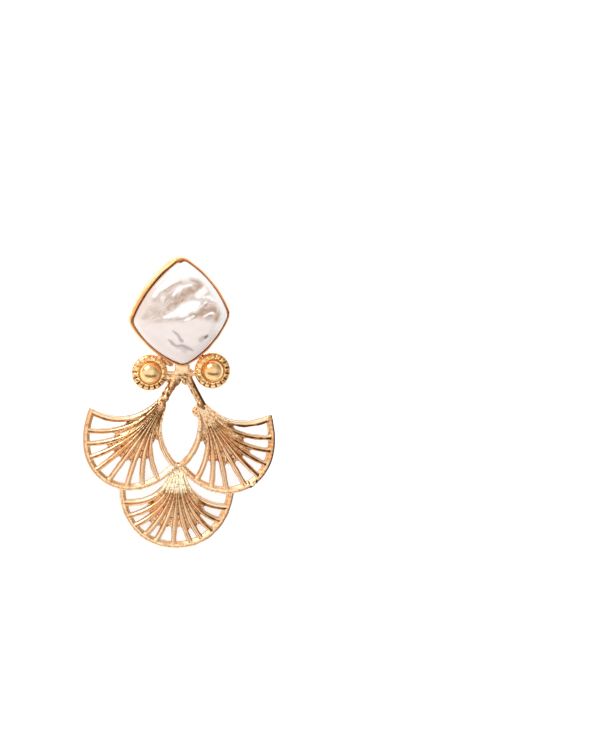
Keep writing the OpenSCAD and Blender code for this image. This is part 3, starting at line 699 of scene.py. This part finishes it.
def pearl():
    """Shell pearl: the drawn-in outline lofted up a smooth profile, with fine wavy folds of nacre
    pressed into its upper face and masks of its tints for the material, which also paint shade on
    its upper left flank and in its creases and pit, and light on its upper right edge."""
    a = np.linspace(0, 360, 400, endpoint=False)
    profile = rounded(PEARL_PROFILE, 120, 8)
    drawn, lift = profile[:, :1] + 0 * a, profile[:, 1:] + 0 * a
    xy = pearl_point(np.broadcast_to(a, drawn.shape), drawn)
    x, y = xy[..., 0], xy[..., 1]
    face = smooth((drawn - 0.03) / 0.2)
    wx = x + 0.28 * ripple(x, y, 2.6, 81)
    wy = y + 0.28 * ripple(x, y, 2.6, 82)
    sx = x + 0.13 * ripple(x, y, 2.4, 89)
    sy = y + 0.13 * ripple(x, y, 2.4, 90)
    brown, bright, creases = (strokes(sx, sy, layer) for layer in (BROWN, BRIGHT, CREASES))
    pit = strokes(x, y, PIT)
    fold_way = wy * 0.82 - wx * 0.57 + 0.5 * ripple(x, y, 3.4, 83)
    fine = np.sin(2 * math.pi * fold_way / FINE_FOLD) * smooth(0.6 + 1.2 * ripple(wx, wy, 2.2, 84))
    broad = np.sin(2 * math.pi * fold_way / BROAD_FOLD + 1.3 * ripple(x, y, 2.8, 85))
    zone = smooth((y - np.interp(x, *ZONE_EDGE.T) + 0.35 * ripple(x, y, 3.0, 86)) / 1.1)
    left, right = bump(x, -1.8, 4.2) * bump(y, 3.8, 3.6), bump(x, 5.8, 3.4) * bump(y, 1.6, 4.0)
    wrinkled = zone * np.maximum(np.maximum(left, right), 0.35 * (1 - smooth((y - 6.0) / 1.5)))
    clear = 1 - smooth((y - 5.6 + 0.25 * x) / 1.6)
    relief = 0.07 * bright - 0.05 * brown - 0.05 * creases - 0.16 * pit
    relief = relief + wrinkled * (0.05 * fine + 0.06 * broad) + 0.02 * ripple(x, y, 2.4, 87)
    z = lift * PEARL_H + relief * face
    base = CUP_BACK + CUP_FLOOR + PEARL_GAP / 2
    beige = np.maximum(zone * (0.45 + 0.14 * ripple(wx, wy, 2.6, 88)) * clear,
                       brown * (0.9 + 0.25 * ripple(wx, wy, 1.5, 91)))
    beige = np.clip(beige + wrinkled * (0.26 * fine + 0.12 * broad), 0, 1)
    beige = beige * (1 - 0.95 * bright) * face
    # Painted shade on the steep upper left flank beside the cup, laid in as beige
    flank = (1 - smooth((drawn - 0.08) / 0.12)) * bump(np.broadcast_to(a, drawn.shape), 138, 60)
    beige = np.maximum(beige, 0.5 * flank)
    # Painted light: the upper right edge is made white
    white = np.maximum(bright, (1 - face) * smooth((x + y - 1) / 4))
    white = np.clip(white + 0.5 * wrinkled * np.maximum(-fine, 0) * (1 - brown), 0, 1) * (1 - flank)
    # Painted shade in the creases and the pit
    mark = np.maximum(creases, pit) * face
    shell = skin(np.dstack([xy, z + base]), beige=beige, white=white, mark=mark)
    return moved(shell, lambda p: head(p + [0, CUP_Y, 0]))


# Half section of a button's flange, as shares of its radius and height, and the way from its
# middle to where its slits are deepest
FLANGE = np.array([[0.82, 0.00], [0.97, 0.04], [1.00, 0.15], [0.995, 0.24], [0.96, 0.32],
                   [0.89, 0.38], [0.80, 0.42], [0.71, 0.44], [0.65, 0.43], [0.615, 0.40],
                   [0.60, 0.42], [0.597, 0.50]])
DEEP_WAY = {-1: 250, 1: -35}
DOME_BASE, SLIT_DEPTH, FLUTE_SWELL = 0.47, 0.26, 0.05


def button(side, seed):
    """Domed button: a surface turned about its axis, a flange that rolls over to its edge, a
    polished dome in the middle, and narrow slits that part the flange into flutes."""
    turn = np.linspace(0, 2 * math.pi, 320, endpoint=False)[None, :]
    dome_a = np.radians(np.linspace(12, 88, 22))
    k = DOME_R / BUTTON_R
    dome = np.stack([k * np.cos(dome_a), DOME_BASE + (1 - DOME_BASE) * np.sin(dome_a)], -1)
    flange = rounded(FLANGE, 46, 1)
    profile = np.vstack([flange, dome])
    r = profile[:, :1] * BUTTON_R + 0 * turn
    z = profile[:, 1:] * BUTTON_H + 0 * turn
    phase = (turn * FLUTES / (2 * math.pi) + 0.25 * seed) % 1
    jitter = 0.06 * ripple(np.cos(turn) * 6, np.sin(turn) * 6, 3.0, seed)
    gap = np.abs(phase + jitter - 0.5) * 2
    reach = smooth((r / BUTTON_R - 0.66) / 0.10)
    slit = smooth((gap - 0.62) / 0.3) * reach
    swell = (1 - gap ** 2) * reach
    deep = np.clip(0.62 + 0.5 * np.cos(turn - math.radians(DEEP_WAY[side])), 0.2, 1)
    z = z - SLIT_DEPTH * slit * deep + FLUTE_SWELL * swell * deep
    r = r - 0.08 * slit * deep * (r > 0.9 * BUTTON_R)
    on_flange = profile[:, 1:] < DOME_BASE
    groove = bump(r / BUTTON_R, k + 0.02, 0.06) * on_flange
    at = np.array([*(BUTTON_AT[side] + [0, CUP_Y]), BUTTON_BACK])
    # Painted shade in the slits, darkest on the side where they are deepest, and with oxide in the
    # ring round the dome's foot
    shell = skin(np.stack([r * np.cos(turn), r * np.sin(turn), z], -1),
                 oxide=np.maximum(slit * deep, 0.35 * groove), grain=on_flange * 0.5)
    return moved(shell, lambda p: head(p + at))


# Materials
def node(tree, kind, values=(), **settings):
    """New shader node with these settings and input values."""
    n = tree.nodes.new("ShaderNode" + kind)
    for k, v in settings.items():
        setattr(n, k, v)
    for k, v in dict(values).items():
        n.inputs[k].default_value = v
    return n


def wire(tree, *wires):
    """Links, each given as a node, its output, the next node and that one's input."""
    for source, output, target, entry in wires:
        tree.links.new(source.outputs[output], target.inputs[entry])


def group_tree(name, colours, numbers, outputs):
    """New node group with its entry and exit: colour inputs, number inputs with their defaults,
    and outputs with their kinds."""
    group = bpy.data.node_groups.new(name, "ShaderNodeTree")
    add = group.interface.new_socket
    for socket in colours:
        add(socket, in_out="INPUT", socket_type="NodeSocketColor")
    for socket, default in numbers:
        add(socket, in_out="INPUT", socket_type="NodeSocketFloat").default_value = default
    for socket, kind in outputs:
        add(socket, in_out="OUTPUT", socket_type="NodeSocket" + kind)
    return group, group.nodes.new("NodeGroupInput"), group.nodes.new("NodeGroupOutput")


def grain_group():
    """Fine cast grain: two sizes of noise, out as a height and as a mask of dark specks."""
    group, entry, outside = group_tree("cast_grain", (), (("Size", 1800.0), ("Amount", 1.0)),
                                       (("Height", "Float"), ("Specks", "Float")))
    place = node(group, "TexCoord")
    coarse = node(group, "TexNoise", {"Detail": 3.0, "Roughness": 0.6})
    coarse_size = node(group, "Math", {1: 1.1}, operation="MULTIPLY")
    fine = node(group, "TexVoronoi", {"Randomness": 1.0}, feature="F1")
    half = node(group, "Math", {1: 0.5}, operation="MULTIPLY")
    total = node(group, "Math", operation="ADD")
    scaled = node(group, "Math", operation="MULTIPLY")
    specks = node(group, "MapRange", {"From Min": 0.5, "From Max": 0.64})
    specked = node(group, "Math", operation="MULTIPLY")
    wire(group, (place, "Object", coarse, "Vector"), (place, "Object", fine, "Vector"),
         (entry, "Size", coarse_size, 0), (coarse_size, 0, coarse, "Scale"),
         (entry, "Size", fine, "Scale"), (fine, "Distance", half, 0),
         (coarse, "Fac", total, 0), (half, 0, total, 1),
         (total, 0, scaled, 0), (entry, "Amount", scaled, 1),
         (coarse, "Fac", specks, "Value"), (specks, "Result", specked, 0),
         (entry, "Amount", specked, 1),
         (scaled, 0, outside, "Height"), (specked, 0, outside, "Specks"))
    return group


def tone_group():
    """Gold with its tarnish and painted shade: a pale and a deep gold mixed by soft clouds, and a
    cream laid over them by its own mask, which also holds painted highlights. They first warm,
    their colour times itself, and then turn to the dark colour of oxide and painted shade as the
    tarnish and the painted shade grow."""
    group, entry, outside = group_tree(
        "gold_tone", ("Pale", "Deep", "Cream", "Oxide"),
        (("Light", 0.0), ("Tarnish", 0.0), ("Cloud Size", 400.0)), (("Color", "Color"),))
    place = node(group, "TexCoord")
    cloud = node(group, "TexNoise", {"Detail": 2.0, "Roughness": 0.5})
    level = node(group, "MapRange", {"From Min": 0.35, "From Max": 0.65})
    gold = node(group, "Mix", data_type="RGBA")
    lit = node(group, "Mix", data_type="RGBA")
    warming = node(group, "MapRange", {"From Max": 0.5})
    warm = node(group, "Mix", data_type="RGBA", blend_type="MULTIPLY")
    dulling = node(group, "MapRange", {"From Min": 0.1, "From Max": 0.9})
    dull = node(group, "Mix", data_type="RGBA")
    wire(group, (place, "Object", cloud, "Vector"), (entry, "Cloud Size", cloud, "Scale"),
         (cloud, "Fac", level, "Value"), (level, "Result", gold, "Factor"),
         (entry, "Pale", gold, "A"), (entry, "Deep", gold, "B"),
         (entry, "Light", lit, "Factor"), (gold, "Result", lit, "A"), (entry, "Cream", lit, "B"),
         (entry, "Tarnish", warming, "Value"), (warming, "Result", warm, "Factor"),
         (lit, "Result", warm, "A"), (lit, "Result", warm, "B"),
         (entry, "Tarnish", dulling, "Value"), (dulling, "Result", dull, "Factor"),
         (warm, "Result", dull, "A"), (entry, "Oxide", dull, "B"),
         (dull, "Result", outside, "Color"))
    return group


GRAIN, TONE = grain_group(), tone_group()


def new_material(name, **values):
    """A material, its node tree and its shader, with these values on the shader's sockets."""
    material = bpy.data.materials.new(name)
    material.use_nodes = True
    shader = material.node_tree.nodes["Principled BSDF"]
    for socket, value in values.items():
        shader.inputs[socket.replace("_", " ")].default_value = value
    return material, material.node_tree, shader


def gold(name, pale, deep, oxide, roughness, grain_size, relief, tarnish=None, light=None,
         rub=0.35):
    """Plated metal: tone, tarnish, painted shade and, on the cup, a painted reflection in its
    colour, more roughness where it is tarnished and where shade is painted, and the cast grain as
    bump. The grain, the tarnish with its painted shade and the cream with its painted highlight
    follow the piece's attributes."""
    material, tree, shader = new_material(name, Metallic=1.0)
    mask = node(tree, "Attribute", attribute_name="grain")
    amount = node(tree, "MapRange", {"To Min": 0.2, "To Max": 1.0})
    cast = node(tree, "Group", node_tree=GRAIN)
    cast.inputs["Size"].default_value = grain_size
    tone = node(tree, "Group", node_tree=TONE)
    for socket, colour in (("Pale", pale), ("Deep", deep), ("Cream", CREAM), ("Oxide", oxide)):
        tone.inputs[socket].default_value = (*colour, 1)
    specks = node(tree, "Math", {1: 0.8}, operation="MULTIPLY")
    dark = node(tree, "Math", operation="MAXIMUM")
    if tarnish:
        wire(tree, (node(tree, "Attribute", attribute_name=tarnish), "Fac", dark, 1))
    if light:
        wire(tree, (node(tree, "Attribute", attribute_name=light), "Fac", tone, "Light"))
    dulled = node(tree, "MapRange", {"To Min": roughness, "To Max": roughness + rub})
    bumps = node(tree, "Bump", {"Strength": relief, "Distance": 0.00006})
    wire(tree, (mask, "Fac", amount, "Value"), (amount, "Result", cast, "Amount"),
         (cast, "Specks", specks, 0), (specks, 0, dark, 0), (dark, 0, tone, "Tarnish"),
         (tone, "Color", shader, "Base Color"), (dark, 0, dulled, "Value"),
         (dulled, "Result", shader, "Roughness"), (cast, "Height", bumps, "Height"),
         (bumps, "Normal", shader, "Normal"))
    return material


PINKISH, PINKISH_PALE = (0.765, 0.655, 0.62), (0.81, 0.72, 0.675)
# Tints laid over the pinkish base by the pearl's masks: beige, which also holds painted shade on
# the flank; white, which also holds painted light on the edge; and the dark of the painted shade in
# creases and pit
TINTS = (("beige", (0.41, 0.265, 0.175)), ("white", (0.97, 0.955, 0.935)),
         ("mark", (0.17, 0.12, 0.12)))


def nacre():
    """Shell pearl: pinkish white below, beige folds above, a bright swoosh and creases in painted
    grey shade, all from the face's own masks, which also paint shade on its upper left flank and
    light on its upper right edge, under a clear glossy coat with a fine ripple."""
    material, tree, shader = new_material("shell_nacre", Roughness=0.28, Coat_Weight=0.6,
                                          Coat_Roughness=0.08)
    place = node(tree, "TexCoord")
    cloud = node(tree, "TexNoise",
                 {"Scale": 260.0, "Detail": 4.0, "Roughness": 0.55, "Distortion": 0.8})
    last = node(tree, "Mix", {"A": (*PINKISH, 1), "B": (*PINKISH_PALE, 1)}, data_type="RGBA")
    relief = node(tree, "Bump", {"Strength": 0.25, "Distance": 0.0001})
    wire(tree, (place, "Object", cloud, "Vector"), (cloud, "Fac", last, "Factor"),
         (cloud, "Fac", relief, "Height"), (relief, "Normal", shader, "Normal"))
    for name, colour in TINTS:
        mask = node(tree, "Attribute", attribute_name=name)
        layer = node(tree, "Mix", {"B": (*colour, 1)}, data_type="RGBA")
        wire(tree, (mask, "Fac", layer, "Factor"), (last, "Result", layer, "A"))
        last = layer
    wire(tree, (last, "Result", shader, "Base Color"))
    return material


# Camera: the photo's angle, with the earring's place in the 600 by 750 frame
VIEW_FROM = np.array([-0.10, 0.14])
PHOTO_ROLL = 2.9
PHOTO_MM = 0.2
CROSSING_PX, MIDDLE_PX = np.array([178.1, 465.7]), np.array([300.0, 375.0])
CAMERA_DISTANCE, SENSOR, CLIP_END = 600.0, 36.0, 10
FRAME_HEIGHT_PX = 750


def camera():
    """Looks along the photo's angle from a long way off, turned so that the earring leans as it
    does there, with the photo's scale at the crossing of the fans."""
    back = np.array([*VIEW_FROM, math.sqrt(1 - VIEW_FROM @ VIEW_FROM)])
    right = unit(np.cross([0, 1.0, 0], back))
    up = np.cross(back, right)
    a = math.radians(PHOTO_ROLL)
    right, up = right * math.cos(a) + up * math.sin(a), up * math.cos(a) - right * math.sin(a)
    crossing = np.array([0, 0, LAP + RIM_T / 2])
    shift = (MIDDLE_PX - CROSSING_PX) * PHOTO_MM
    aim = crossing + right * shift[0] - up * shift[1]
    place = crossing + back * CAMERA_DISTANCE
    ahead = unit(place - aim)
    side = unit(np.cross(up, ahead))
    turn = np.stack([side, np.cross(ahead, side), ahead], -1)
    data = bpy.data.cameras.new("camera")
    data.sensor_width = SENSOR
    data.lens = SENSOR * CAMERA_DISTANCE / (FRAME_HEIGHT_PX * PHOTO_MM)
    data.clip_end = CLIP_END
    made = shown("camera", data)
    made.matrix_world = Matrix.Translation(lying(place)) @ Matrix(PITCH_TURN @ turn).to_4x4()
    bpy.context.scene.camera = made


SHEET_SIZE, SHEET_GREY, SHEET_ROUGHNESS, SHEET_GLOW = 1.5, (0.5, 0.5, 0.5, 1), 0.6, 1.5


def floor():
    """Wide pale sheet under the earring, which glows a little."""
    mesh = bpy.data.meshes.new("floor")
    s = SHEET_SIZE
    mesh.from_pydata([(-s, -s, 0), (s, -s, 0), (s, s, 0), (-s, s, 0)], [], [(0, 1, 2, 3)])
    made = shown("floor", mesh)
    mesh.materials.append(new_material(
        "white_sheet", Base_Color=SHEET_GREY, Roughness=SHEET_ROUGHNESS,
        Emission_Color=SHEET_GREY, Emission_Strength=SHEET_GLOW)[0])


# The world's dark band: where it lies, half its width at full strength and where it ends
BAND_AT, BAND_HALF_W, BAND_END = (math.radians(a) for a in (-39, 6, 18))
WORLD_LIGHT = 1.3
BOX_AT, BOX_SIZE, BOX_ENERGY = Vector((-0.30, 0.37, 0.36)), (0.34, 0.28), 2.2


def studio():
    """Soft white surroundings with a darker upper half, a dark band just over the front, which
    the domes show as a line, and a fall to the right; one soft box behind the upper left."""
    world = bpy.data.worlds.new("studio")
    bpy.context.scene.world = world
    world.use_nodes = True
    tree = world.node_tree
    link = tree.links.new

    def span(source, from_min, from_max, to_min, to_max):
        """The source eased from one range to the other."""
        n = node(tree, "MapRange", {"From Min": from_min, "From Max": from_max,
                                    "To Min": to_min, "To Max": to_max},
                 interpolation_type="SMOOTHSTEP")
        link(source, n.inputs["Value"])
        return n.outputs["Result"]

    def math_node(kind, *sources):
        """This operation on its sources, numbers or sockets."""
        n = node(tree, "Math", operation=kind)
        for k, source in enumerate(sources):
            if isinstance(source, float):
                n.inputs[k].default_value = source
            else:
                link(source, n.inputs[k])
        return n.outputs[0]

    way = node(tree, "TexCoord")
    split = node(tree, "SeparateXYZ")
    link(way.outputs["Generated"], split.inputs[0])
    x, y, z = (split.outputs[k] for k in ("X", "Y", "Z"))
    tilt = math_node("ARCTAN2", y, z)
    off = math_node("ABSOLUTE", math_node("ADD", tilt, -BAND_AT))
    band = span(off, BAND_HALF_W, BAND_END, 1.0, 0.0)
    band = math_node("MULTIPLY", band, span(math_node("ABSOLUTE", x), 0.55, 0.95, 0.8, 0.0))
    upper = span(tilt, math.radians(0), math.radians(40), 1.0, 0.6)
    right = span(x, 0.2, 0.75, 1.0, 0.5)
    light = math_node("MULTIPLY", upper, right)
    light = math_node("MULTIPLY", light, math_node("SUBTRACT", 1.0, band))
    link(math_node("MULTIPLY", light, WORLD_LIGHT), tree.nodes["Background"].inputs["Strength"])
    tree.nodes["Background"].inputs["Color"].default_value = (1, 1, 1, 1)
    box = bpy.data.lights.new("soft_box", "AREA")
    box.shape = "RECTANGLE"
    box.size, box.size_y = BOX_SIZE
    box.energy = BOX_ENERGY
    made = shown("soft_box", box)
    made.location = BOX_AT
    made.rotation_euler = (-BOX_AT).to_track_quat("-Z", "Y").to_euler()
    bpy.context.scene.view_settings.view_transform = "Standard"


def dress(piece, material, replaced="metal_frame"):
    """Gives a piece its material, puts it on the root and hides the part of the node it stands for.
    """
    piece.data.materials.clear()
    piece.data.materials.append(material)
    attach(piece, "root")
    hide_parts(replaced)


camera()
PEACH, HONEY, UMBER = (1.0, 0.72, 0.46), (0.97, 0.61, 0.34), (0.09, 0.035, 0.01)
CREAM = (1.0, 0.86, 0.62)
fan_gold = gold("cast_gold", PEACH, HONEY, UMBER, 0.25, 2000, 0.5, "oxide", "cream")
stem_gold = gold("hammered_gold", (0.97, 0.69, 0.42), (0.79, 0.51, 0.28), UMBER, 0.26, 1800, 0.5,
                 "oxide")
button_gold = gold("polished_gold", (0.96, 0.67, 0.35), (0.85, 0.52, 0.23), (0.11, 0.04, 0.012),
                   0.16, 2200, 0.2, "oxide")
# The cup's inner rows get an orange painted reflection through its inner mask
cup_gold = gold("bezel_gold", (1.0, 0.74, 0.52), (0.98, 0.60, 0.34), (0.92, 0.40, 0.15), 0.22, 1500,
                0.2, "inner", None, 0.1)
# Dark drops carry painted shadow; the drop at dark 0 gets full cream as a painted highlight
drops = [lump(at, radii, turn, 0.12, 401, oxide=dark, grain=0.5, cream=1.0 if dark == 0 else 0.2)
         for at, radii, turn, dark in DROPS]
for name, shells in (("fan_left", side_fan(-1, LEFT_LOOK)),
                     ("fan_right", side_fan(1, RIGHT_LOOK) + drops),
                     ("fan_tail", fan(TAIL_RIBS, TAIL_PLAN, TAIL_OVERRUN, -90, TAIL_LOOK))):
    dress(mesh_piece(name, shells, ["oxide", "grain", "cream"]), fan_gold)
dress(joints(), stem_gold)
for name, side, seed in (("button_left", -1, 1), ("button_right", 1, 2)):
    dress(mesh_piece(name, [button(side, seed)], ["oxide", "grain"], 60), button_gold)
dress(mesh_piece("cup", [cup()], ["grain", "inner"], 50), cup_gold)
dress(mesh_piece("pearl_cabochon", [pearl()], ["beige", "white", "mark"], 80), nacre(),
      "pearl")
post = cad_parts["ear_post"]
post.data.materials.clear()
wire_gold = gold("wire_gold", (0.95, 0.66, 0.33), (0.88, 0.56, 0.24), UMBER, 0.2, 900, 0.1)
post.data.materials.append(wire_gold)
floor()
studio()
